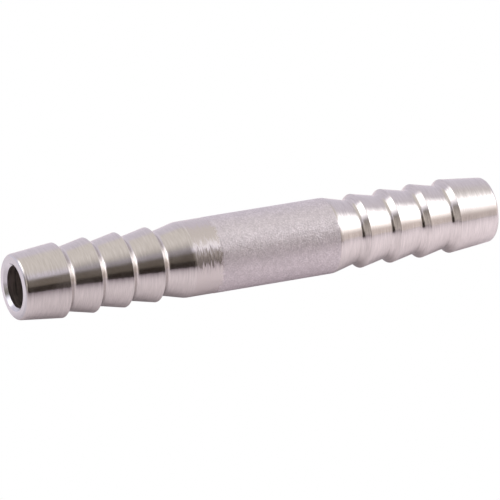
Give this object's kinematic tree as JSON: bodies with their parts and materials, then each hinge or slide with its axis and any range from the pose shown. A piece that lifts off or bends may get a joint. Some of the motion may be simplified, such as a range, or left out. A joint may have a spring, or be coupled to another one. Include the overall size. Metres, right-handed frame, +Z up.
{
  "type": "straight barbed hose joiner",
  "caption": "Straight double-ended barbed hose joiner turned from stainless steel bar, with a plain body and a through bore.",
  "frame": {"origin": "middle of the joiner, on the axis of its bore", "axes": "+X along the bore towards the right tail, the one away from the skim-cut band; +Z up; +Y completes the frame. The joiner lies level"},
  "size_m": [0.0682, 0.01, 0.01],
  "materials": {
    "stainless_steel": "stainless steel: fine turned and bright on the tails, as drawn and matte on the body, drilled in the bore"
  },
  "bodies": {
    "root": {"barbed_joiner_body": "stainless_steel"}
  },
  "joints": []
}
